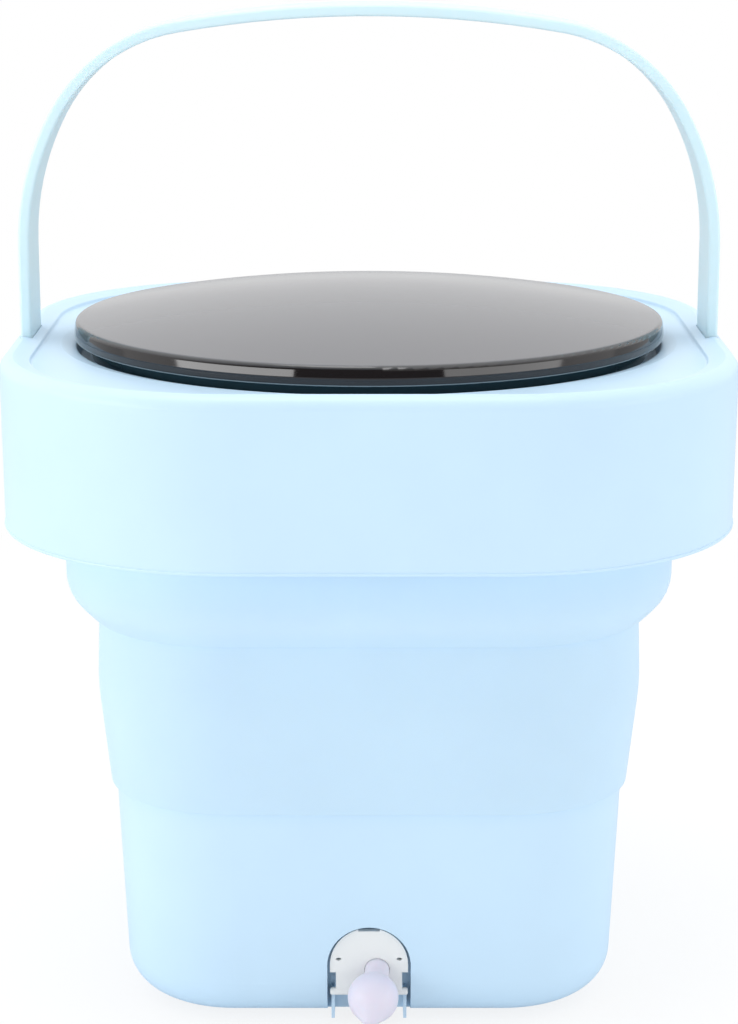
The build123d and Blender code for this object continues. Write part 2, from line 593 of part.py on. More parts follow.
def drain_port():
    """White plate in the drain port with its foot bar, and the soft spout with its pull-off cap."""
    half = PORT_HALF - 1
    waist_z = DRAIN_PLATE_FOOT_Z + 7.2
    waist_half = half - 2.2
    upper = Pos(0, (PORT_SPRING_Z + waist_z) / 2) * Rectangle(2 * half, PORT_SPRING_Z - waist_z)
    crown = Pos(0, PORT_SPRING_Z) * Circle(half) & Pos(0, PORT_SPRING_Z + half) * Rectangle(2 * half, 2 * half)
    foot_z = DRAIN_PLATE_FOOT_Z
    waist = Pos(0, (waist_z + foot_z) / 2) * Rectangle(2 * waist_half, waist_z - foot_z)
    notch = Pos(0, PORT_SPRING_Z + half) * Rectangle(8.0, 2.4)
    slots = [Pos(x, PORT_SPRING_Z + 2.3) * Ellipse(1.05, 0.6) for x in (-11.2, 11.2)]
    plate = from_front(upper + crown + waist - notch - slots, PLATE_FRONT_Y, DRAIN_PLATE_THICKNESS)
    bar_y = PLATE_FRONT_Y + DRAIN_BAR_RADIUS - 0.2
    bar_z = foot_z - DRAIN_BAR_RADIUS / 2
    bar = rod((-half, bar_y, bar_z), (half, bar_y, bar_z), DRAIN_BAR_RADIUS)
    plate += fillet(bar.edges().filter_by(GeomType.CIRCLE), 0.8)
    plate += [rod((x, PLATE_BACK_Y - 0.5, z), (x, PORT_INNER_Y + 2, z), PEG_RADIUS) for x, z in PEG_PLACES]
    through = (DRAIN_X, PLATE_FRONT_Y - 1, DRAIN_Z), (DRAIN_X, PLATE_BACK_Y + 1, DRAIN_Z)
    plate -= rod(*through, ELBOW_BORE + SLIP)
    root = Vector(DRAIN_X, PLATE_FRONT_Y - 0.6, DRAIN_Z)
    reach = cos(radians(SPOUT_DROP))
    turn = radians(SPOUT_TURN)
    axis = Vector(-sin(turn) * reach, -cos(turn) * reach, -sin(radians(SPOUT_DROP)))
    stub_end = (DRAIN_X, ELBOW_END_Y + 5, DRAIN_Z)
    tip = root + axis * SPOUT_REACH
    stub_radius = ELBOW_BORE - RUNNING
    knee = Pos(*root)
    spout = rod(stub_end, root, stub_radius) + rod(root, tip, SPOUT_RADIUS) + knee * Sphere(stub_radius)
    spout -= rod(Vector(stub_end) + Vector(0, 1, 0), root, SPOUT_BORE)
    spout -= rod(root, tip + axis, SPOUT_BORE) + knee * Sphere(SPOUT_BORE)
    return {
        "drain_plate": plate,
        "drain_spout": spout,
        "drain_cap": drain_cap(root, axis),
    }


def drain_cap(root, axis):
    """Soft drop-shaped cap: a ball that grips the spout and draws in to a rounded pull tip."""
    slope = sqrt(0.5)
    mouth = CAP_BULB_PLACE - sqrt(CAP_BULB_RADIUS**2 - CAP_MOUTH_RADIUS**2)
    end = CAP_BULB_PLACE + CAP_BULB_RADIUS / slope - CAP_TIP_RADIUS
    ball_edge = (CAP_BULB_RADIUS * slope, CAP_BULB_PLACE + CAP_BULB_RADIUS * slope)
    ball = ThreePointArc((CAP_MOUTH_RADIUS, mouth), (CAP_BULB_RADIUS, CAP_BULB_PLACE), ball_edge)
    rest = Polyline(ball_edge, (CAP_TIP_RADIUS, end), (0, end), (0, mouth), (CAP_MOUTH_RADIUS, mouth))
    face = make_face([ball, rest]).face()
    for corner, radius in (((CAP_TIP_RADIUS, end), 1.5), ((CAP_MOUTH_RADIUS, mouth), 0.8)):
        face = face.fillet_2d(radius, [face.vertices().sort_by_distance(corner)[0]])
    drop = turned(face)
    drop -= post(0, 0, mouth - 1, SPOUT_REACH + 0.5, SPOUT_RADIUS + RUNNING)
    return Plane(origin=root, z_dir=axis) * drop


def controls():
    """Rear panel with the power button, lens and socket, and the board behind it."""
    flange = rounded_panel(BOARD_HALF, PANEL_LOW_Z - PANEL_LIP, PANEL_HIGH_Z + PANEL_LIP, PANEL_ROUND)
    face = rounded_panel(PANEL_HALF, PANEL_LOW_Z, PANEL_HIGH_Z, PANEL_ROUND)
    panel = from_front(flange, PANEL_BACK_Y, PANEL_FLANGE) + from_front(face, PANEL_SHOULDER_Y, PANEL_FACE)
    panel += [rod((x, BOARD_FRONT_Y, z), (x, PANEL_BACK_Y, z), 2.5) for x, z in BOARD_SCREW_PLACES]
    middle = PANEL_MIDDLE_Z
    holes = [(BUTTON_X, BUTTON_RADIUS + SLIP), (SOCKET_X, SOCKET_RADIUS + SLIP), (0, LENS_RADIUS + RUNNING)]
    for x, radius in holes:
        panel -= rod((x, PANEL_BACK_Y - 1, middle), (x, PANEL_FRONT_Y + 1, middle), radius)
    board_low = PANEL_LOW_Z - PANEL_LIP - 1
    board_high = PANEL_HIGH_Z + PANEL_LIP + 1
    board = block(-BOARD_HALF, BOARD_HALF, BOARD_BACK_Y, BOARD_FRONT_Y, board_low, board_high)
    screws = []
    for x, z in BOARD_SCREW_PLACES:
        pilot_end = (x, BOARD_FRONT_Y + BOARD_SCREW_BITE + PILOT_SPARE / 2, z)
        panel -= rod((x, BOARD_FRONT_Y - 1, z), pilot_end, SMALL_SCREW[0] + RUNNING)
        board -= rod((x, BOARD_BACK_Y - 1, z), (x, BOARD_FRONT_Y + 1, z), SMALL_SCREW[0] + SLIP)
        seat = (x, BOARD_BACK_Y, z)
        screws.append(screw(seat, (0, 1, 0), SMALL_SCREW, BOARD_THICKNESS + BOARD_SCREW_BITE).solid())
    flange_front = PANEL_BACK_Y - RUNNING
    stem_end = flange_front - 2
    front = (BUTTON_X, PANEL_FRONT_Y + BUTTON_PROUD, middle)
    cap = rod((BUTTON_X, flange_front, middle), front, BUTTON_RADIUS)
    cap = fillet(cap.edges().sort_by(Axis.Y)[-1], 0.9)
    rear = (BUTTON_X, flange_front, middle)
    button = cap + rod((BUTTON_X, flange_front - 1, middle), rear, BUTTON_RADIUS + 1.5)
    button += rod((BUTTON_X, stem_end, middle), rear, 1.7)
    switch_top = stem_end - BUTTON_TRAVEL - 0.1
    switch = block(BUTTON_X - 3, BUTTON_X + 3, BOARD_FRONT_Y, switch_top - 0.7, middle - 3, middle + 3)
    switch += rod((BUTTON_X, switch_top - 1, middle), (BUTTON_X, switch_top, middle), 1.7)
    lens = rod((0, BOARD_FRONT_Y, middle), (0, PANEL_FRONT_Y + 0.3, middle), LENS_RADIUS)
    barrel_end = PANEL_FRONT_Y - 0.2
    socket = block(SOCKET_X - 4.5, SOCKET_X + 4.5, BOARD_FRONT_Y, PANEL_BACK_Y, middle - 4.5, middle + 4.5)
    bore_end = barrel_end - SOCKET_DEPTH
    socket += rod((SOCKET_X, PANEL_BACK_Y - 1, middle), (SOCKET_X, barrel_end, middle), SOCKET_RADIUS)
    socket -= rod((SOCKET_X, bore_end, middle), (SOCKET_X, barrel_end + 1, middle), SOCKET_BORE)
    socket += rod((SOCKET_X, bore_end, middle), (SOCKET_X, barrel_end - 1, middle), 1)
    lead_z = MOTOR_TOP_Z - MOTOR_LENGTH / 2
    lead_y = (BOARD_BACK_Y, TERMINAL_END_Y)
    run = (lead_y[0] - lead_y[1]) / 4
    x = TERMINAL_X
    bends = [(x, lead_y[0] - run, lead_z), (x + 7, sum(lead_y) / 2, lead_z), (x, lead_y[1] + run, lead_z)]
    route = FilletPolyline((x, lead_y[0], lead_z), *bends, (x, lead_y[1], lead_z), radius=run * 0.9)
    lead = sweep(Plane(origin=(x, lead_y[0], lead_z), z_dir=(0, -1, 0)) * Circle(LEAD_RADIUS), path=route)
    return {
        "control_panel": panel,
        "circuit_board": board,
        "board_screws": Compound(screws),
        "button_switch": switch,
        "power_button": button,
        "indicator_lens": lens,
        "power_socket": socket,
        "motor_lead": lead,
    }


def bellows():
    """Soft two-tier bucket wall: a foot flange on the base, a step between tiers, a top flange in the head."""
    foot_inner = BELLOWS_FOOT_HALF - BELLOWS_WALL
    waist_z = SEAM_Z + BELLOWS_WAIST_RISE
    root_z = SEAM_Z + BELLOWS_ROOT_RISE
    top_z = LINER_Z - BODY_GAP
    flange_z = CLAMP_TOP_Z + BODY_GAP
    inner_tier = BELLOWS_TIER_HALF - BELLOWS_WALL
    step_half = BELLOWS_ROOT_HALF + BELLOWS_STEP_FLAT
    tier_z = root_z + BELLOWS_TIER_HALF - step_half
    slant = BELLOWS_WALL * (sqrt(2) - 1)
    waist = (BELLOWS_WAIST_HALF, waist_z)
    root = (BELLOWS_ROOT_HALF, root_z)
    tier = (BELLOWS_TIER_HALF, tier_z)
    outer = [(BELLOWS_FOOT_HALF, SEAM_Z), waist, root, (step_half, root_z), tier]
    flange = [(BELLOWS_TIER_HALF, flange_z), (FLANGE_HALF, flange_z), (FLANGE_HALF, top_z), (inner_tier, top_z)]
    tier_in = (inner_tier, tier_z + slant)
    root_in = (BELLOWS_ROOT_HALF - BELLOWS_WALL, root_z + BELLOWS_WALL)
    waist_in = (BELLOWS_WAIST_HALF - BELLOWS_WALL, waist_z)
    foot_top = SEAM_Z + BELLOWS_FLANGE
    inner = [tier_in, (step_half - slant, root_in[1]), root_in, waist_in, (foot_inner, foot_top)]
    foot = [(pan_half(SEAM_Z) + 1, foot_top), (pan_half(SEAM_Z) + 1, SEAM_Z)]
    soft = BELLOWS_WAIST_ROUND
    step = BELLOWS_STEP_ROUND
    rounds = [(waist, soft), (waist_in, soft - BELLOWS_WALL), (tier, step), (tier_in, step - BELLOWS_WALL)]
    rounds.append((root_in, 1.5))
    wall = square_ring(outline([*outer, *flange, *inner, *foot], rounds))
    wall = drill(wall, CLAMP_SCREWS, SEAM_Z - 1, foot_top + 1, MEDIUM_SCREW[0] + SLIP)
    return drill(wall, LINER_SCREWS, flange_z - 1, top_z + 1, MEDIUM_SCREW[0] + BODY_GAP)


LINER_SCREWS = on_sides(BELLOWS_TIER_HALF + FLANGE_WIDTH / 2, LINER_SCREW_OFFSETS)


def clamps():
    """Rings that hold the two flanges of the bucket wall, the mouth liner, and their screws."""
    lower_z = SEAM_Z + BELLOWS_FLANGE
    lower_top = lower_z + LOWER_CLAMP_THICKNESS
    lower = square_plate(BELLOWS_FOOT_HALF - BELLOWS_WALL - 2, lower_z, lower_top)
    lower -= square_plate(pan_half(SEAM_Z) + 0.5, lower_z - 1, lower_top + 1)
    lower = drill(lower, CLAMP_SCREWS, lower_z - 1, lower_top + 1, MEDIUM_SCREW[0] + SLIP)
    lower_length = LOWER_CLAMP_THICKNESS + BELLOWS_FLANGE + CLAMP_SCREW_BITE
    upper = square_plate(FLANGE_HALF, CLAMP_Z, CLAMP_TOP_Z)
    upper -= square_plate(BELLOWS_TIER_HALF + BODY_GAP, CLAMP_Z - 1, CLAMP_TOP_Z + 1)
    upper = drill(upper, LINER_SCREWS, CLAMP_Z - 1, CLAMP_TOP_Z + 1, MEDIUM_SCREW[0] + SLIP)
    liner = square_plate(FLANGE_HALF, LINER_Z, LINER_TOP_Z)
    liner -= post(0, 0, LINER_Z - 1, LINER_TOP_Z + 1, MOUTH_RADIUS)
    liner = drill(liner, LINER_SCREWS, LINER_Z - 1, LINER_TOP_Z + 1, MEDIUM_SCREW[0] + SLIP)
    upper_length = LINER_TOP_Z - CLAMP_Z + LINER_SCREW_BITE
    return {
        "lower_clamp_ring": lower,
        "lower_clamp_screws": screws_down(CLAMP_SCREWS, lower_top, MEDIUM_SCREW, lower_length),
        "upper_clamp_ring": upper,
        "upper_clamp_screws": screws_up(LINER_SCREWS, CLAMP_Z, MEDIUM_SCREW, upper_length),
        "mouth_liner": liner,
    }


def head_form(inset, low_z, top_z, corner):
    """Filled form of the head, drawn in by an inset."""
    slope = HEAD_FLARE / (HEAD_HEIGHT - HEAD_SHOULDER)
    foot = (HEAD_HALF - inset + slope * (low_z - HEAD_Z), low_z)
    crest = (HEAD_HALF - inset + slope * (top_z - HEAD_Z), top_z)
    return square_block([foot, crest], [(crest, corner)], HEAD_CORNER)


def bowl_outline(drop):
    """Outline of the lid bowl from its edge down to the lid's seat, lowered and widened by a drop."""
    edge = (BOWL_RADIUS + drop, DECK_Z)
    lip = (BOWL_RADIUS + drop, DECK_Z - drop)
    foot = (SEAT_RADIUS + drop / 2, BOWL_Z - drop)
    middle = (foot[0] + BOWL_RUN * 0.5, foot[1] + BOWL_DEPTH * 0.36)
    curve = ThreePointArc(lip, middle, foot)
    rest = Polyline(foot, (0, foot[1]), (0, DECK_Z + 3), (edge[0], DECK_Z + 3), lip)
    return make_face([curve, rest])


GUIDE_FACE = HANDLE_INNER - BODY_GAP
COLUMN_PLACES = on_sides(HEAD_HALF - HEAD_WALL - COLUMN_RADIUS + 0.8, COLUMN_OFFSETS)
GUIDE_SCREW_X = GUIDE_FACE - GUIDE_WALL - GUIDE_FOOT / 2
GUIDE_SCREW_YS = (-GUIDE_SCREW_OFFSET, GUIDE_SCREW_OFFSET)
GUIDE_SCREWS = [(x, y) for x in (-GUIDE_SCREW_X, GUIDE_SCREW_X) for y in GUIDE_SCREW_YS]


def head_shell():
    """Outer moulding of the head: wall, raised rim, deck, lid bowl and neck, with bosses inside."""
    outer = head_form(0, HEAD_Z, CREST_Z, HEAD_SHOULDER)
    cavity = head_form(HEAD_WALL, HEAD_Z - 1, DECK_Z - DECK_THICKNESS, HEAD_SHOULDER - HEAD_WALL)
    tray_half = HEAD_HALF + HEAD_FLARE - RIM_WIDTH
    tray_floor = (tray_half - RIM_LEAN - RIM_BREAK, DECK_Z)
    tray_break = (tray_half - RIM_BREAK, CREST_Z - RIM_FALL)
    crest_half = HEAD_HALF + HEAD_FLARE - HEAD_SHOULDER
    tray_shape = [tray_floor, tray_break, (crest_half, CREST_Z), (crest_half, CREST_Z + 1)]
    tray = square_block(tray_shape, [(tray_floor, 1.0), (tray_break, 0.8)], HEAD_CORNER)
    half = HEAD_HALF
    bowl = turned(bowl_outline(DECK_THICKNESS)) - block(-half, half, -half, half, DECK_Z, DECK_Z + 5)
    neck = post(0, 0, LINER_TOP_Z, BOWL_Z - 1, MOUTH_RADIUS + NECK_WALL)
    boss_top = DECK_Z - DECK_THICKNESS / 2
    bosses = [post(x, y, LINER_TOP_Z, boss_top, COLUMN_RADIUS) for x, y in LINER_SCREWS]
    column_low = HEAD_Z + HEAD_BASE_THICKNESS
    columns = [post(x, y, column_low, boss_top, COLUMN_RADIUS) for x, y in COLUMN_PLACES]
    inside = head_form(HEAD_WALL / 2, HEAD_Z, DECK_Z - DECK_THICKNESS / 2, HEAD_SHOULDER - HEAD_WALL / 2)
    shell = outer - cavity + bowl + neck
    for part in bosses + columns:
        shell += part & inside
    shell -= tray
    shell -= turned(bowl_outline(0))
    shell -= post(0, 0, HEAD_Z, CREST_Z + 1, MOUTH_RADIUS)
    slot = (GUIDE_FACE, HANDLE_INNER + HANDLE_THICKNESS + BODY_GAP)
    slot_half = HANDLE_WIDTH / 2 + BODY_GAP
    slot_low = DECK_Z - DECK_THICKNESS - HEAD_SHOULDER
    shell -= block(*slot, -slot_half, slot_half, slot_low, CREST_Z + 1)
    shell -= block(-slot[1], -slot[0], -slot_half, slot_half, slot_low, CREST_Z + 1)
    pilot = MEDIUM_SCREW[0] + RUNNING
    liner_pilot_top = LINER_TOP_Z + LINER_SCREW_BITE + PILOT_SPARE
    shell = drill(shell, LINER_SCREWS, LINER_TOP_Z - 1, liner_pilot_top, pilot)
    column_pilot_top = column_low + COLUMN_SCREW_BITE + PILOT_SPARE
    return drill(shell, COLUMN_PLACES, column_low - 1, column_pilot_top, pilot)


def head_base():
    """Ring that closes the head from below, with recessed screws."""
    outer_half = HEAD_HALF - HEAD_WALL - SLIP
    top_z = HEAD_Z + HEAD_BASE_THICKNESS
    ring = square_plate(outer_half, HEAD_Z, top_z, HEAD_CORNER)
    ring -= square_plate(BELLOWS_TIER_HALF + 2 * BODY_GAP, HEAD_Z - 1, top_z + 1)
    places = COLUMN_PLACES + GUIDE_SCREWS
    recess = MEDIUM_SCREW[2] + 0.2
    ring = drill(ring, places, HEAD_Z - 1, HEAD_Z + recess, MEDIUM_SCREW[1] + SLIP)
    ring = drill(ring, places, HEAD_Z, top_z + 1, MEDIUM_SCREW[0] + SLIP)
    web = HEAD_BASE_THICKNESS - recess
    return {
        "head_base": ring,
        "head_screws": screws_up(COLUMN_PLACES, HEAD_Z + recess, MEDIUM_SCREW, web + COLUMN_SCREW_BITE),
        "guide_screws": screws_up(GUIDE_SCREWS, HEAD_Z + recess, MEDIUM_SCREW, web + GUIDE_SCREW_BITE),
    }


def arch_line(offset):
    """Half of the handle's arch, moved out by an offset, from the straight leg to the crown."""
    leg = HANDLE_INNER + offset
    straight_z = CREST_Z + HANDLE_STRAIGHT
    haunch_angle = radians(HANDLE_HAUNCH_ANGLE)
    shoulder_angle = radians(HANDLE_SHOULDER_ANGLE)
    haunch_centre = (HANDLE_INNER - HANDLE_HAUNCH_RADIUS, straight_z)
    reach = HANDLE_HAUNCH_RADIUS - HANDLE_SHOULDER_RADIUS
    shoulder_x = haunch_centre[0] + reach * cos(haunch_angle)
    shoulder_centre = (shoulder_x, haunch_centre[1] + reach * sin(haunch_angle))
    crown_radius = HANDLE_SHOULDER_RADIUS + shoulder_centre[0] / cos(shoulder_angle)
    drop = (crown_radius - HANDLE_SHOULDER_RADIUS) * sin(shoulder_angle)
    crown_centre = (0, shoulder_centre[1] - drop)

    def on_arc(centre, radius, angle):
        return (centre[0] + (radius + offset) * cos(angle), centre[1] + (radius + offset) * sin(angle))

    start = (leg, straight_z)
    haunch_end = on_arc(haunch_centre, HANDLE_HAUNCH_RADIUS, haunch_angle)
    shoulder_end = on_arc(shoulder_centre, HANDLE_SHOULDER_RADIUS, shoulder_angle)
    crown = (0, crown_centre[1] + crown_radius + offset)
    haunch = ThreePointArc(start, on_arc(haunch_centre, HANDLE_HAUNCH_RADIUS, haunch_angle / 2), haunch_end)
    middle = on_arc(shoulder_centre, HANDLE_SHOULDER_RADIUS, (haunch_angle + shoulder_angle) / 2)
    shoulder = ThreePointArc(haunch_end, middle, shoulder_end)
    quarter = (shoulder_angle + radians(90)) / 2
    top = ThreePointArc(shoulder_end, on_arc(crown_centre, crown_radius, quarter), crown)
    return [haunch, shoulder, top], start, crown


def handle():
    """Wide strap bent to a flat arch; its straight legs run down into the head."""
    inner, inner_start, inner_crown = arch_line(0)
    outer, outer_start, outer_crown = arch_line(HANDLE_THICKNESS)
    foot = Polyline(inner_start, (inner_start[0], LEG_LOW_Z), (outer_start[0], LEG_LOW_Z), outer_start)
    face = make_face([*inner, foot, *outer, Line(outer_crown, inner_crown)])
    half = extrude(Plane.XZ * face, HANDLE_WIDTH / 2, both=True)
    strap = half + mirror(half, Plane.YZ)
    edges = [edge for edge in strap.edges() if abs(abs(edge.center().Y) - HANDLE_WIDTH / 2) < 0.01]
    edges = [edge for edge in edges if edge.center().Z > LEG_LOW_Z + 1]
    strap = fillet(edges, HANDLE_EDGE)
    catch_z = LEG_LOW_Z + CATCH_HEIGHT / 2
    reach = HANDLE_INNER + HANDLE_THICKNESS - 1.5
    for y in (-CATCH_SCREW_OFFSET, CATCH_SCREW_OFFSET):
        strap -= rod((-reach, y, catch_z), (reach, y, catch_z), SMALL_SCREW[0] + RUNNING)
    return strap


def handle_hardware():
    """Catches screwed to the ends of the legs, and the guides inside the head that they run in."""
    catches = []
    screws = []
    guides = []
    catch_face = HANDLE_INNER - CATCH_REACH
    low_z = HEAD_Z + HEAD_BASE_THICKNESS
    top_z = DECK_Z - DECK_THICKNESS
    inner_x = GUIDE_FACE - GUIDE_WALL
    channel_half = HANDLE_WIDTH / 2 + BODY_GAP
    inside = head_form(HEAD_WALL + SLIP, HEAD_Z, DECK_Z - DECK_THICKNESS - SLIP, HEAD_SHOULDER - HEAD_WALL)
    for side in (-1, 1):
        catch_top = LEG_LOW_Z + CATCH_HEIGHT
        catch = block(catch_face, HANDLE_INNER, -CATCH_HALF, CATCH_HALF, LEG_LOW_Z, catch_top)
        middle_z = LEG_LOW_Z + CATCH_HEIGHT / 2
        for y in (-CATCH_SCREW_OFFSET, CATCH_SCREW_OFFSET):
            catch -= rod((0, y, middle_z), (HANDLE_INNER + 1, y, middle_z), SMALL_SCREW[0] + SLIP)
            catch -= rod((0, y, middle_z), (catch_face + SMALL_SCREW[2], y, middle_z), SMALL_SCREW[1] + SLIP)
            seat = (side * (catch_face + SMALL_SCREW[2]), y, middle_z)
            length = CATCH_REACH - SMALL_SCREW[2] + HANDLE_THICKNESS - 2
            screws.append(screw(seat, (side, 0, 0), SMALL_SCREW, length).solid())
        rail = block(inner_x, HEAD_HALF, -channel_half - GUIDE_WALL, channel_half + GUIDE_WALL, low_z, top_z)
        rail -= block(GUIDE_FACE, HEAD_HALF + 1, -channel_half, channel_half, low_z - 1, top_z + 1)
        rail = rail & inside
        slot_half = CATCH_HALF + BODY_GAP
        slot_low = LEG_LOW_Z - HANDLE_TRAVEL - BODY_GAP
        rail -= block(inner_x - 1, GUIDE_FACE + 1, -slot_half, slot_half, slot_low, top_z + 1)
        foot_half = GUIDE_SCREW_OFFSET + 4
        foot_top = low_z + GUIDE_FOOT_HEIGHT
        rail += block(inner_x - GUIDE_FOOT, inner_x, -foot_half, foot_half, low_z, foot_top)
        pilot_top = low_z + GUIDE_SCREW_BITE + PILOT_SPARE / 2
        places = [(GUIDE_SCREW_X, y) for y in GUIDE_SCREW_YS]
        rail = drill(rail, places, low_z - 1, pilot_top, MEDIUM_SCREW[0] + RUNNING)
        turn = Rot(0, 0, 0 if side > 0 else 180)
        catches.append((turn * catch).solid())
        guides.append((turn * rail).solid())
    return {
        "handle_catches": Compound(catches),
        "catch_screws": Compound(screws),
        "handle_guides": Compound(guides),
    }


def dome_z(radius, lift):
    """Height of the lid's domed top at a radius, lifted by an amount."""
    ball = (LID_EDGE_RADIUS**2 + LID_DOME**2) / (2 * LID_DOME)
    return LID_EDGE_Z + LID_DOME - ball + sqrt(ball**2 - radius**2) + lift


def lid():
    """Smoked cover with a domed top and a tapered collar, its dark plug, seal and screws."""
    rim_low = LID_EDGE_Z - LID_RIM
    collar_low = rim_low - LID_COLLAR_DROP
    edge = (LID_EDGE_RADIUS, LID_EDGE_Z)
    knee = (LID_RADIUS, rim_low + LID_RIM_KNEE)
    rim_foot = (LID_RADIUS - LID_RIM_TUCK, rim_low)
    inner_radius = LID_COLLAR_TOP - LID_COLLAR_WALL
    under_edge = (inner_radius, dome_z(inner_radius, -LID_WALL))
    top = ThreePointArc((0, dome_z(0, 0)), (LID_EDGE_RADIUS / 2, dome_z(LID_EDGE_RADIUS / 2, 0)), edge)
    collar_inner = LID_COLLAR_FOOT - LID_COLLAR_WALL
    collar = [(LID_COLLAR_TOP, rim_low), (LID_COLLAR_FOOT, collar_low), (collar_inner, collar_low)]
    side = Polyline(edge, knee, rim_foot, *collar, under_edge)
    half_radius = inner_radius / 2
    under = ThreePointArc(under_edge, (half_radius, dome_z(half_radius, -LID_WALL)), (0, dome_z(0, -LID_WALL)))
    face = make_face([top, side, under, Line((0, dome_z(0, -LID_WALL)), (0, dome_z(0, 0)))]).face()
    for corner, radius in ((edge, 2.0), (knee, 6.0), (rim_foot, 0.7), (collar[1], 0.8)):
        face = face.fillet_2d(radius, [face.vertices().sort_by_distance(corner)[0]])
    cover = turned(face)
    plug_low = LID_PLUG_Z - LID_PLUG_DEPTH
    plug_radius = LID_PLUG_RADIUS
    lip_z = LID_PLUG_Z
    wall = LID_PLUG_WALL
    shoulder_top = dome_z(LID_SHOULDER_RADIUS, -LID_WALL) - SLIP
    shoulder_inner = LID_SHOULDER_RADIUS - wall
    outside = [(0, plug_low), (plug_radius, plug_low), (plug_radius, lip_z), (LID_SHOULDER_RADIUS, lip_z)]
    crown = [(LID_SHOULDER_RADIUS, shoulder_top), (shoulder_inner, shoulder_top), (shoulder_inner, lip_z + wall)]
    plug_inner = plug_radius - wall
    inside = [(plug_inner, lip_z + wall), (plug_inner, plug_low + wall), (0, plug_low + wall)]
    plug = turned(outline([*outside, *crown, *inside], [((plug_radius, plug_low), 1.5)]))
    places = on_circle(LID_SCREW_CIRCLE, 6, 30)
    boss_low = plug_low + wall
    boss_top = dome_z(LID_SCREW_CIRCLE, -LID_WALL / 2)
    cover += [post(x, y, boss_low, boss_top, LID_BOSS_RADIUS) for x, y in places]
    pilot_top = boss_low + LID_SCREW_BITE + PILOT_SPARE
    cover = drill(cover, places, boss_low - 1, pilot_top, MEDIUM_SCREW[0] + RUNNING)
    plug = drill(plug, places, plug_low - 1, boss_low + 1, MEDIUM_SCREW[0] + SLIP)
    seal_outer = LID_SHOULDER_RADIUS - SLIP
    return {
        "lid_cover": cover,
        "lid_plug": plug,
        "lid_seal": tube(seal_outer - LID_SEAL_WIDTH, seal_outer, lip_z - LID_SEAL_HEIGHT, lip_z),
        "lid_screws": screws_up(places, plug_low, MEDIUM_SCREW, wall + LID_SCREW_BITE),
    }


def pan_screws():
    """Screws under the feet that hold the pan in the housing."""
    seat = BASE_Z + BASE_FLOOR + POST_HEIGHT - POST_WEB
    return screws_up(four_corners(FOOT_PLACE), seat, LARGE_SCREW, POST_WEB + PAN_SCREW_BITE)


def build():
    """All nodes of the machine by name."""
    nodes = {
        "base_shell": base_shell(),
        "tub_pan": tub_pan(),
        "base_feet": base_feet(),
        "pan_screws": pan_screws(),
        "bellows": bellows(),
        "head_shell": head_shell(),
        "handle": handle(),
    }
    for group in (drive, pulsator, drain_line, drain_port, controls, clamps, head_base, handle_hardware, lid):
        nodes.update(group())
    return nodes


os.makedirs("parts", exist_ok=True)
for name, shape in build().items():
    solids = shape.solids()
    export_step(solids[0] if len(solids) == 1 else Compound(solids), f"parts/{name}.step")
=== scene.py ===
import json
from math import atan2, cos, hypot, pi, radians, sin, tan

import bpy
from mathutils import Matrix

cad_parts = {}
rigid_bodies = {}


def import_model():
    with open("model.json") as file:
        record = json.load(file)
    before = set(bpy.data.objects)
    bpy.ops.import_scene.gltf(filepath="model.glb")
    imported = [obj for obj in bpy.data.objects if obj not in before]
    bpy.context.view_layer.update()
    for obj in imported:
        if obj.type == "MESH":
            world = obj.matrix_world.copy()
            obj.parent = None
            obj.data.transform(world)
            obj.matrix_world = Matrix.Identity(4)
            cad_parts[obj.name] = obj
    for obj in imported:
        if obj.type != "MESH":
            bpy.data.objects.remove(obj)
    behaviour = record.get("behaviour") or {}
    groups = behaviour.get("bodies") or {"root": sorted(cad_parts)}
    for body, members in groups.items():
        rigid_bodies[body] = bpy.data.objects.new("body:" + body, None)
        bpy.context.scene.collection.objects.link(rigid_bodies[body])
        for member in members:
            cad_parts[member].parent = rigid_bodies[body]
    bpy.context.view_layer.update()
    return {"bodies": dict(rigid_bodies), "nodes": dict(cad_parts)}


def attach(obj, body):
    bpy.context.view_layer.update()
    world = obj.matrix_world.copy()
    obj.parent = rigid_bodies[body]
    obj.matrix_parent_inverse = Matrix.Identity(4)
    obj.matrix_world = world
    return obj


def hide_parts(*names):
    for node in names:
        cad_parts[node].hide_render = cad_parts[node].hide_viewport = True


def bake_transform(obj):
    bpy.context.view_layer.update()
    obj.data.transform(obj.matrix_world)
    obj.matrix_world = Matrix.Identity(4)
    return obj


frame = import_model()

# Camera: a long lens a metre in front of the machine and a little above its handle. The tilt and the
# distance are those at which the round lid, the level edges and the strap look as in the photograph.
long_lens = bpy.data.cameras.new("long_lens")
long_lens.sensor_width = 36.0
long_lens.lens = 92.93
camera = bpy.data.objects.new("camera", long_lens)
camera.location = (0.0, -1.0, 0.4129)
camera.rotation_euler = (radians(76.54), 0.0, 0.0)
bpy.context.scene.collection.objects.link(camera)
bpy.context.scene.camera = camera
bpy.context.scene.view_settings.view_transform = "Standard"


# Studio light: a white cyclorama all round, with an oval softbox on each side, the left one stronger,
# and one overhead. The room behind the camera is dimmer than its sides, and for polished edges, which
# hold dark bands, it is almost dark.
def linear(colour, alpha=1.0):
    """sRGB hex colour as linear values."""
    parts = [int(colour[place:place + 2], 16) / 255 for place in (1, 3, 5)]
    return [part / 12.92 if part <= 0.04045 else ((part + 0.055) / 1.055) ** 2.4 for part in parts] + [alpha]


def add(tree, kind, inputs=None, **settings):
    """Add a node, set its settings, and give its inputs values or links from other sockets."""
    node = tree.nodes.new("ShaderNode" + kind)
    for setting, value in settings.items():
        setattr(node, setting, value)
    for socket, value in (inputs or {}).items():
        if isinstance(value, bpy.types.NodeSocket):
            tree.links.new(value, node.inputs[socket])
        else:
            node.inputs[socket].default_value = value
    return node


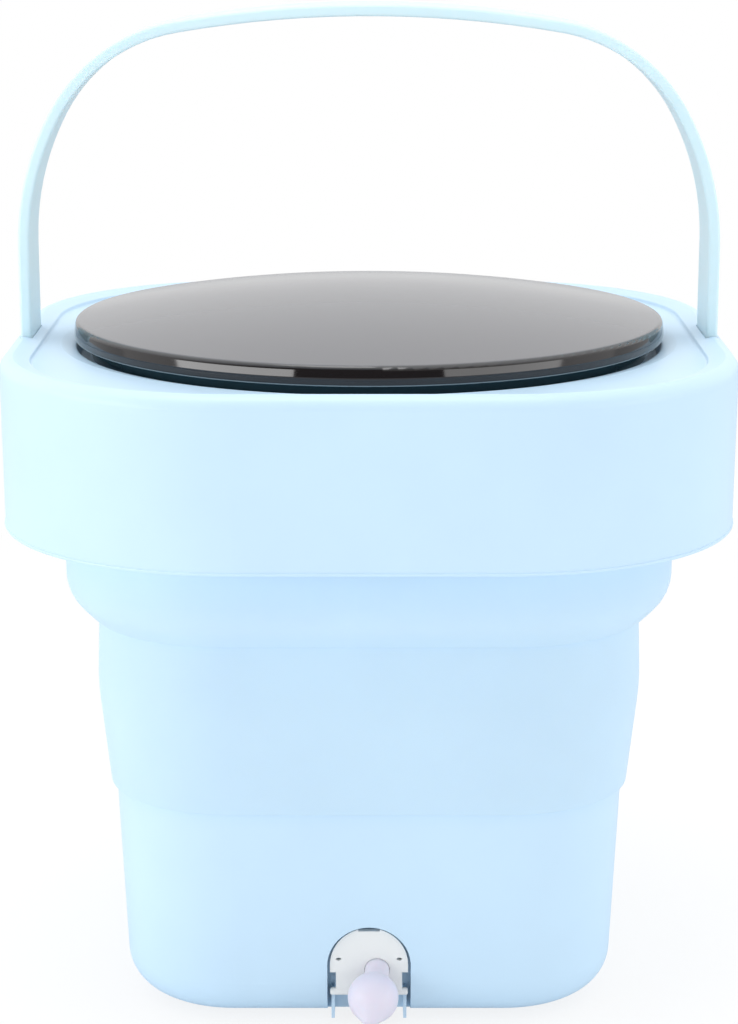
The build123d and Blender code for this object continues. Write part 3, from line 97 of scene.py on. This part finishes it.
ambient_behind_camera, ambient_sides = 0.48, 1.24
mirrored_behind_camera, mirrored_sides = 0.13, 1.0
turn_begins, turn_ends = -0.75, -0.1
studio = bpy.data.worlds.new("studio")
studio.use_nodes = True
bpy.context.scene.world = studio
room = studio.node_tree
room.nodes.clear()
rays = add(room, "LightPath").outputs
heading = add(room, "SeparateXYZ", {0: add(room, "TexCoord").outputs["Generated"]}).outputs["Y"]
mirrored = add(room, "MapRange", {"Value": heading, "From Min": turn_begins, "From Max": turn_ends,
                                  "To Min": mirrored_behind_camera, "To Max": mirrored_sides})
soft = add(room, "MapRange", {"Value": heading, "From Min": turn_begins, "From Max": turn_ends,
                              "To Min": ambient_behind_camera, "To Max": ambient_sides})
shiny = add(room, "Math", {0: rays["Is Glossy Ray"], 1: rays["Is Transmission Ray"]}, operation="MAXIMUM")
light_level = add(room, "Mix", {0: shiny.outputs[0], 2: soft.outputs[0], 3: mirrored.outputs[0]})
shown_level = add(room, "Mix", {0: rays["Is Camera Ray"], 2: light_level.outputs[0], 3: 1.0})
backdrop = add(room, "Background", {"Color": linear("#FFFFFF"), "Strength": shown_level.outputs[0]})
add(room, "OutputWorld", {"Surface": backdrop.outputs[0]})

aim = frame["bodies"]["base"].location.copy()
aim.z = 0.2
for name, place, size, power in (
    ("softbox_left", (-1.25, -0.85, 0.40), (1.7, 0.30), 6.7),
    ("softbox_right", (1.25, -0.85, 0.40), (1.7, 0.30), 3.3),
    ("softbox_overhead", (-0.1, -0.1, 1.6), (0.8, 0.8), 4.6),
):
    box = bpy.data.lights.new(name, "AREA")
    box.shape = "ELLIPSE"
    box.size, box.size_y = size
    box.energy = power
    lamp = bpy.data.objects.new(name, box)
    lamp.location = place
    lamp.rotation_euler = (aim - lamp.location).to_track_quat("-Z", "Y").to_euler()
    lamp.visible_camera = False
    bpy.context.scene.collection.objects.link(lamp)


# Floor: a white paper sweep on which the machine stands. It keeps the machine's soft shadow, is
# lightened towards the plain white of the backdrop from 0.15 m to 0.7 m away, and throws some light up
# on the machine. Polished edges mirror it a little greyer than it is.
def new_material(name):
    """An empty material and its node tree."""
    made = bpy.data.materials.new(name)
    made.use_nodes = True
    made.node_tree.nodes.clear()
    return made, made.node_tree


def new_piece(name, points, faces, material, smooth=True):
    """A mesh object from points in metres and faces."""
    shape = bpy.data.meshes.new(name)
    shape.from_pydata(points, [], faces)
    shape.materials.append(material)
    shape.polygons.foreach_set("use_smooth", [smooth] * len(shape.polygons))
    shape.update()
    piece = bpy.data.objects.new(name, shape)
    bpy.context.scene.collection.objects.link(piece)
    return piece


paper, tree = new_material("white_paper_sweep")
place = add(tree, "TexCoord").outputs["Object"]
tooth = add(tree, "TexNoise", {"Vector": place, "Scale": 900.0, "Detail": 2.0})
bump = add(tree, "Bump", {"Height": tooth.outputs[0], "Distance": 0.0001, "Strength": 0.2})
rays = add(tree, "LightPath").outputs
shade = add(tree, "Mix", {0: rays["Is Glossy Ray"], 6: linear("#F4F5F6"), 7: linear("#CDCFD1")},
            data_type="RGBA")
matt = add(tree, "BsdfDiffuse", {"Color": shade.outputs[2], "Normal": bump.outputs[0]})
glow = add(tree, "Emission", {"Color": linear("#FFFFFF"), "Strength": 1.0})
spread = add(tree, "VectorMath", {0: place}, operation="LENGTH")
fade = add(tree, "MapRange", {"Value": spread.outputs["Value"], "From Min": 0.15, "From Max": 0.7,
                              "To Min": 0.8, "To Max": 1.0})
lightened = add(tree, "Math", {0: rays["Is Camera Ray"], 1: fade.outputs[0]}, operation="MULTIPLY")
bounce = add(tree, "Math", {0: rays["Is Diffuse Ray"], 1: 0.3}, operation="MULTIPLY")
glowing = add(tree, "Math", {0: lightened.outputs[0], 1: bounce.outputs[0]}, operation="ADD")
both = add(tree, "MixShader", {0: glowing.outputs[0], 1: matt.outputs[0], 2: glow.outputs[0]})
add(tree, "OutputMaterial", {"Surface": both.outputs[0]})
reach = 9.0
floor = new_piece("floor", [(-reach, -reach, 0), (reach, -reach, 0), (reach, reach, 0), (-reach, reach, 0)],
                  [(0, 1, 2, 3)], paper, smooth=False)


# Base housing: one injection moulding in pale sky-blue ABS with a fine satin tool grain. The same
# plastic makes the head, the rings between the two, the pulsator and the guides of the handle.
def moulded(name, colour, roughness, grain_mm=0.45, depth_mm=0.003, ior=1.54, cloud=0.02, **sockets):
    """A moulded plastic or rubber: tool grain as bump, and slight cloudiness in tone and gloss."""
    cloud_mm = 70
    made, tree = new_material(name)
    place = add(tree, "TexCoord").outputs["Object"]
    grain = add(tree, "TexNoise", {"Vector": place, "Scale": 1000 / grain_mm, "Detail": 2.0})
    flow = add(tree, "TexNoise", {"Vector": place, "Scale": 1000 / cloud_mm, "Detail": 3.0, "Roughness": 0.6})
    tone = add(tree, "MapRange", {"Value": flow.outputs[0], "From Min": 0.3, "From Max": 0.7,
                                  "To Min": 1 - cloud, "To Max": 1 + cloud})
    colour = add(tree, "HueSaturation", {"Color": linear(colour), "Value": tone.outputs[0]})
    gloss = add(tree, "MapRange", {"Value": flow.outputs[0], "From Min": 0.25, "From Max": 0.75,
                                   "To Min": roughness - 0.03, "To Max": roughness + 0.03})
    bump = add(tree, "Bump", {"Height": grain.outputs[0], "Distance": depth_mm / 1000, "Strength": 1.0})
    shader = add(tree, "BsdfPrincipled", {"Base Color": colour.outputs[0], "Roughness": gloss.outputs[0],
                                          "IOR": ior, "Normal": bump.outputs[0], **sockets})
    add(tree, "OutputMaterial", {"Surface": shader.outputs[0]})
    return made


def dress(material, *nodes):
    """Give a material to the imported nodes."""
    for node in nodes:
        for finish in frame["nodes"][node].material_slots:
            finish.material = material


blue_abs = moulded("moulded_ABS_sky_blue", "#CAE6FB", 0.38, **{"Specular IOR Level": 0.4})
dress(blue_abs, "base_shell")

# Feet: four plugs of pale rubber pressed over the housing screws; dull and a little cloudy.
foot_rubber = moulded("moulded_rubber_pale_grey", "#C9D3D8", 0.7,
                      grain_mm=0.8, depth_mm=0.01, ior=1.5, cloud=0.05)
dress(foot_rubber, "base_feet")


# Drive under the pan: a painted steel motor can on a zinc-plated plate, held by plated screws, with a
# ground steel shaft in a sealed bearing. All of it is hidden once the pan is in.
def plated(name, colour, roughness, brush_mm, stretch, depth_mm=0.004):
    """Plated or ground steel with fine marks drawn out along one direction."""
    patina_mm = 9
    made, tree = new_material(name)
    place = add(tree, "TexCoord").outputs["Object"]
    lay = add(tree, "Mapping", {"Vector": place, "Scale": stretch})
    marks = add(tree, "TexNoise", {"Vector": lay.outputs[0], "Scale": 1000 / brush_mm, "Detail": 3.0})
    patina = add(tree, "TexNoise", {"Vector": place, "Scale": 1000 / patina_mm, "Detail": 4.0})
    tone = add(tree, "MapRange", {"Value": patina.outputs[0], "To Min": 0.9, "To Max": 1.06})
    colour = add(tree, "HueSaturation", {"Color": linear(colour), "Value": tone.outputs[0]})
    gloss = add(tree, "MapRange", {"Value": marks.outputs[0],
                                   "To Min": roughness - 0.08, "To Max": roughness + 0.08})
    bump = add(tree, "Bump", {"Height": marks.outputs[0], "Distance": depth_mm / 1000, "Strength": 0.6})
    shader = add(tree, "BsdfPrincipled", {"Base Color": colour.outputs[0], "Metallic": 1.0,
                                          "Roughness": gloss.outputs[0], "Normal": bump.outputs[0]})
    add(tree, "OutputMaterial", {"Surface": shader.outputs[0]})
    return made


motor_paint = moulded("sprayed_enamel_motor_grey", "#7C8084", 0.42,
                      grain_mm=0.9, depth_mm=0.012, ior=1.5, cloud=0.04)
zinc_steel = plated("zinc_plated_steel", "#C9CCCE", 0.34, 0.5, (1, 1, 1))
ground_steel = plated("ground_shaft_steel", "#D2D3D4", 0.22, 0.3, (1, 1, 6))
seal_rubber = moulded("moulded_rubber_seal_grey", "#6E767B", 0.55,
                      grain_mm=0.7, depth_mm=0.006, ior=1.5, cloud=0.04)
cable_sheath = moulded("extruded_PVC_sheath_black", "#1E1F21", 0.48,
                       grain_mm=0.6, depth_mm=0.006, ior=1.53, cloud=0.06)
dress(motor_paint, "motor_body")
dress(zinc_steel, "motor_plate", "motor_screws", "plate_screws", "pan_screws", "shaft_bearing")
dress(ground_steel, "drive_shaft", "pulsator_screw")
dress(seal_rubber, "shaft_seal", "spout_seal")
dress(cable_sheath, "motor_lead")

# Tub pan: the hard floor of the wash tub, polypropylene, smoother and a little whiter than the
# housing. The strainer and the elbow of the drain are plain white.
pan_plastic = moulded("moulded_polypropylene_pan", "#D6EFF8", 0.28, grain_mm=0.6, depth_mm=0.002, ior=1.49)
drain_plastic = moulded("moulded_ABS_drain_white", "#EEF1F1", 0.33, grain_mm=0.4, depth_mm=0.003)
dress(pan_plastic, "tub_pan")
dress(drain_plastic, "drain_elbow", "drain_strainer")

# Pulsator: the finned disc that stirs the wash, with its snap-on cap, in the housing's plastic.
dress(blue_abs, "pulsator", "pulsator_cap")

# Drain port: a white plate clipped into the arch, and a soft silicone spout closed by a drop-shaped
# pull-off cap, milky with a faint lilac tone where light goes through it.
silicone = moulded("moulded_silicone_milky", "#E4E0EE", 0.36, grain_mm=0.7, depth_mm=0.003, ior=1.43,
                   **{"Subsurface Weight": 0.35, "Subsurface Radius": (1.0, 0.6, 0.7),
                      "Subsurface Scale": 0.003})
dress(drain_plastic, "drain_plate")
dress(silicone, "drain_spout", "drain_cap")

# Rear panel: white plastic with a power button, a small lens and the low-voltage inlet, and the
# circuit board screwed behind it, green lacquer over rows of copper tracks.
panel_plastic = moulded("moulded_ABS_panel_white", "#F0F2F2", 0.4, grain_mm=0.4, depth_mm=0.004)
black_plastic = moulded("moulded_nylon_black", "#232426", 0.45, grain_mm=0.5, depth_mm=0.005, cloud=0.04)
lens_plastic = moulded("polished_acrylic_lens", "#DDF3E6", 0.08, grain_mm=0.5, depth_mm=0.0005, ior=1.49,
                       **{"Transmission Weight": 0.6})
board_lacquer, tree = new_material("lacquered_circuit_board_green")
place = add(tree, "TexCoord").outputs["Object"]
upright = add(tree, "Mapping", {"Vector": place, "Rotation": (radians(90), 0, 0)})
tracks = add(tree, "TexBrick", {"Vector": upright.outputs[0], "Scale": 90.0, "Mortar Size": 0.06,
                                "Brick Width": 0.9, "Row Height": 0.28, "Color1": linear("#1F5B38"),
                                "Color2": linear("#1B5233"), "Mortar": linear("#2E7A4C")})
rise = add(tree, "Bump", {"Height": tracks.outputs["Fac"], "Distance": 0.00004, "Strength": 0.8})
shader = add(tree, "BsdfPrincipled", {"Base Color": tracks.outputs["Color"], "Roughness": 0.3, "IOR": 1.5,
                                      "Coat Weight": 0.4, "Normal": rise.outputs[0]})
add(tree, "OutputMaterial", {"Surface": shader.outputs[0]})
dress(panel_plastic, "control_panel", "power_button")
dress(black_plastic, "button_switch", "power_socket")
dress(lens_plastic, "indicator_lens")
dress(board_lacquer, "circuit_board")
dress(zinc_steel, "board_screws")


# Bucket wall: one soft elastomer moulding in two tiers, dull and slightly translucent. Its foot flange
# is clamped on the pan and its top flange in the head. Between the seam with the base and the fold
# above it, the lower tier rolls down round the base as the head comes down.
def softened(corners, gap=0.004):
    """Outline of half width and height: corners given a radius become arcs, long runs get points."""
    run = []
    for index, (x, z, radius) in enumerate(corners):
        before, after = corners[index - 1], corners[(index + 1) % len(corners)]
        ux, uz = before[0] - x, before[1] - z
        vx, vz = after[0] - x, after[1] - z
        u, v = hypot(ux, uz), hypot(vx, vz)
        ux, uz, vx, vz = ux / u, uz / u, vx / v, vz / v
        half_angle = atan2(abs(ux * vz - uz * vx), ux * vx + uz * vz) / 2
        reach = radius / tan(half_angle)
        start, end = (x + ux * reach, z + uz * reach), (x + vx * reach, z + vz * reach)
        bisector = hypot(ux + vx, uz + vz)
        depth = radius / sin(half_angle)
        centre = (x + (ux + vx) / bisector * depth, z + (uz + vz) / bisector * depth)
        first = atan2(start[1] - centre[1], start[0] - centre[0])
        turn = (atan2(end[1] - centre[1], end[0] - centre[0]) - first + pi) % (2 * pi) - pi
        steps = max(4, int(radius * abs(turn) / gap))
        for step in range(steps + 1):
            angle = first + turn * step / steps
            run.append((centre[0] + radius * cos(angle), centre[1] + radius * sin(angle)))
    filled = []
    for index, (x, z) in enumerate(run):
        next_x, next_z = run[(index + 1) % len(run)]
        steps = max(1, int(hypot(next_x - x, next_z - z) / gap))
        filled += [(x + (next_x - x) * step / steps, z + (next_z - z) * step / steps)
                   for step in range(steps)]
    return filled


def square_loft(name, section, corner, material, arc=20, side=14):
    """Carry a closed outline round a rounded square whose corner arcs are centred at the corner."""
    points = []
    for half, z in section:
        radius = half - corner
        straight = [(half, -corner + 2 * corner * step / side) for step in range(side)]
        angles = [radians(90 * step / arc) for step in range(arc)]
        bend = [(corner + radius * cos(angle), corner + radius * sin(angle)) for angle in angles]
        for quarter in range(4):
            spin = radians(90 * quarter)
            points += [(x * cos(spin) - y * sin(spin), x * sin(spin) + y * cos(spin), z)
                       for x, y in straight + bend]
    count = 4 * (side + arc)
    rows = len(section)
    faces = [(row * count + place, row * count + (place + 1) % count,
              (row + 1) % rows * count + (place + 1) % count, (row + 1) % rows * count + place)
             for row in range(rows) for place in range(count)]
    return new_piece(name, points, faces, material)


seam, pan_top, waist, fold = 0.084, 0.0870, 0.122, 0.1487
fold_inner, tier_top, head_top = 0.1511, 0.2213, 0.2237
bore, tier, tier_inner, flange = 0.0860, 0.1120, 0.1096, 0.1225
wall_section = [
    (0.0970, seam, 0.0004), (0.1012, waist, 0.080), (0.1003, fold, 0.0003), (0.1025, fold, 0.0008),
    (tier, 0.1582, 0.016), (tier, tier_top, 0.0005), (flange, tier_top, 0.0004), (flange, head_top, 0.0004),
    (tier_inner, head_top, 0.0005), (tier_inner, 0.1592, 0.0136), (0.1015, fold_inner, 0.001),
    (0.0979, fold_inner, 0.0015), (0.0988, waist, 0.0776), (0.0946, pan_top, 0.0008), (bore, pan_top, 0.0004),
    (bore, seam, 0.0004),
]
elastomer = moulded("moulded_TPE_sky_blue", "#C7E3F8", 0.5, grain_mm=0.7, depth_mm=0.004, ior=1.5,
                    **{"Subsurface Weight": 0.15, "Subsurface Radius": (0.8, 1.0, 1.2),
                       "Subsurface Scale": 0.002})
wall = square_loft("bucket_wall", softened(wall_section), 0.050, elastomer)
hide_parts("bellows")
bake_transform(wall)

# Clamp rings and mouth liner: flat blue mouldings that hold the wall's two flanges, with plated screws.
dress(blue_abs, "lower_clamp_ring", "upper_clamp_ring", "mouth_liner")
dress(zinc_steel, "lower_clamp_screws", "upper_clamp_screws")

# Head: the wide rounded-square shell with its tray and lid bowl, closed by a ring from below. A fine
# rounded lip runs round its lower edge, where it catches the light as a thin bright line.
dress(blue_abs, "head_shell", "head_base")
dress(zinc_steel, "head_screws", "guide_screws")
lip_inner, lip_outer, lip_low, lip_high = 0.1334, 0.1344, 0.1832, 0.1842
lip_section = [(lip_inner, lip_low, 0.0001), (lip_outer, lip_low, 0.0004),
               (lip_outer, lip_high, 0.0004), (lip_inner, lip_high, 0.0001)]
lip = square_loft("head_lip", softened(lip_section, 0.0004), 0.0465, blue_abs)
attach(lip, "head")

# Bowl ledge: the shallow ledge inside the edge of the lid's bowl, 5.8 mm wide, from which the bowl drops
# steeply to its seat. Its outer edge stands 0.07 mm proud of the deck, a fine line round the bowl.
ledge_outer, ledge_edge, ledge_foot = 0.1173, 0.1115, 0.1097
ledge_section = [(ledge_foot, 0.2375, 0.0001), (ledge_outer, 0.2418, 0.0001), (ledge_outer, 0.24237, 0.00006),
                 (ledge_edge, 0.2413, 0.0006), (ledge_foot, 0.2381, 0.0001)]
ledge = square_loft("bowl_ledge", softened(ledge_section, 0.001), 0.0, blue_abs, arc=48, side=0)
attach(ledge, "head")

# Handle: a wide strap bent to a flat arch, in a more flexible polypropylene, its colour painted a shade paler
# than the housing's as painted light. Its legs carry screwed catches and run in guides inside the head.
# Painted light: the strap's colour is a paler copy of the housing's blue, so that the strap looks more
# brightly lit.
strap_plastic_painted_paler = moulded("moulded_polypropylene_strap_painted_paler", "#D8F1FC", 0.4, ior=1.49,
                        **{"Subsurface Weight": 0.3, "Subsurface Radius": (0.8, 1.0, 1.1),
                           "Subsurface Scale": 0.004})
dress(strap_plastic_painted_paler, "handle")
dress(blue_abs, "handle_catches", "handle_guides")
dress(zinc_steel, "catch_screws")

# Lid: a domed cover of smoke-tinted acrylic, in bands by height: a blue-grey collar, a painted highlight
# as a thin pale line at the rim's foot, the polished dark rim and the satin top. A dark plug under it,
# with a grey seal, closes the mouth.
band_low, band_high = 0.242, 0.252
# The pale band at the rim's foot is a painted highlight, not a colour of the acrylic.
collar, painted_foot_highlight, rim, top = "#2C444E", "#7C8C93", "#171213", "#6D6D71"
bands = ((band_low, collar), (0.24405, collar), (0.24415, painted_foot_highlight), (0.2445, painted_foot_highlight), (0.2447, rim),
         (0.2500, rim), (0.2504, "#3C3C3E"), (0.2510, "#4C4C4E"), (0.2513, top), (band_high, top))
smoke, tree = new_material("moulded_acrylic_smoke")
place = add(tree, "TexCoord").outputs["Object"]
height = add(tree, "SeparateXYZ", {0: place}).outputs["Z"]
level = add(tree, "MapRange", {"Value": height, "From Min": band_low, "From Max": band_high})
zones = add(tree, "ValToRGB", {0: level.outputs[0]})
ramp = zones.color_ramp
while len(ramp.elements) < len(bands):
    ramp.elements.new(0.5)
for element, (edge, _) in zip(ramp.elements, bands):
    element.position = (edge - band_low) / (band_high - band_low)
for element, (_, colour) in zip(ramp.elements, bands):
    element.color = linear(colour)
cloud_mm = 80
flow = add(tree, "TexNoise", {"Vector": place, "Scale": 1000 / cloud_mm, "Detail": 2.0})
satin = add(tree, "MapRange", {"Value": flow.outputs[0], "From Min": 0.3, "From Max": 0.7,
                               "To Min": 0.15, "To Max": 0.18})
on_top = add(tree, "MapRange", {"Value": height, "From Min": 0.2500, "From Max": 0.2510})
gloss = add(tree, "Mix", {0: on_top.outputs[0], 2: 0.05, 3: satin.outputs[0]})
shader = add(tree, "BsdfPrincipled", {"Base Color": zones.outputs[0], "Roughness": gloss.outputs[0],
                                      "IOR": 1.58})
add(tree, "OutputMaterial", {"Surface": shader.outputs[0]})
dark_plastic = moulded("moulded_ABS_plug_dark", "#28343A", 0.3, grain_mm=0.4, depth_mm=0.002)
dress(smoke, "lid_cover")
dress(dark_plastic, "lid_plug")
dress(seal_rubber, "lid_seal")
dress(zinc_steel, "lid_screws")
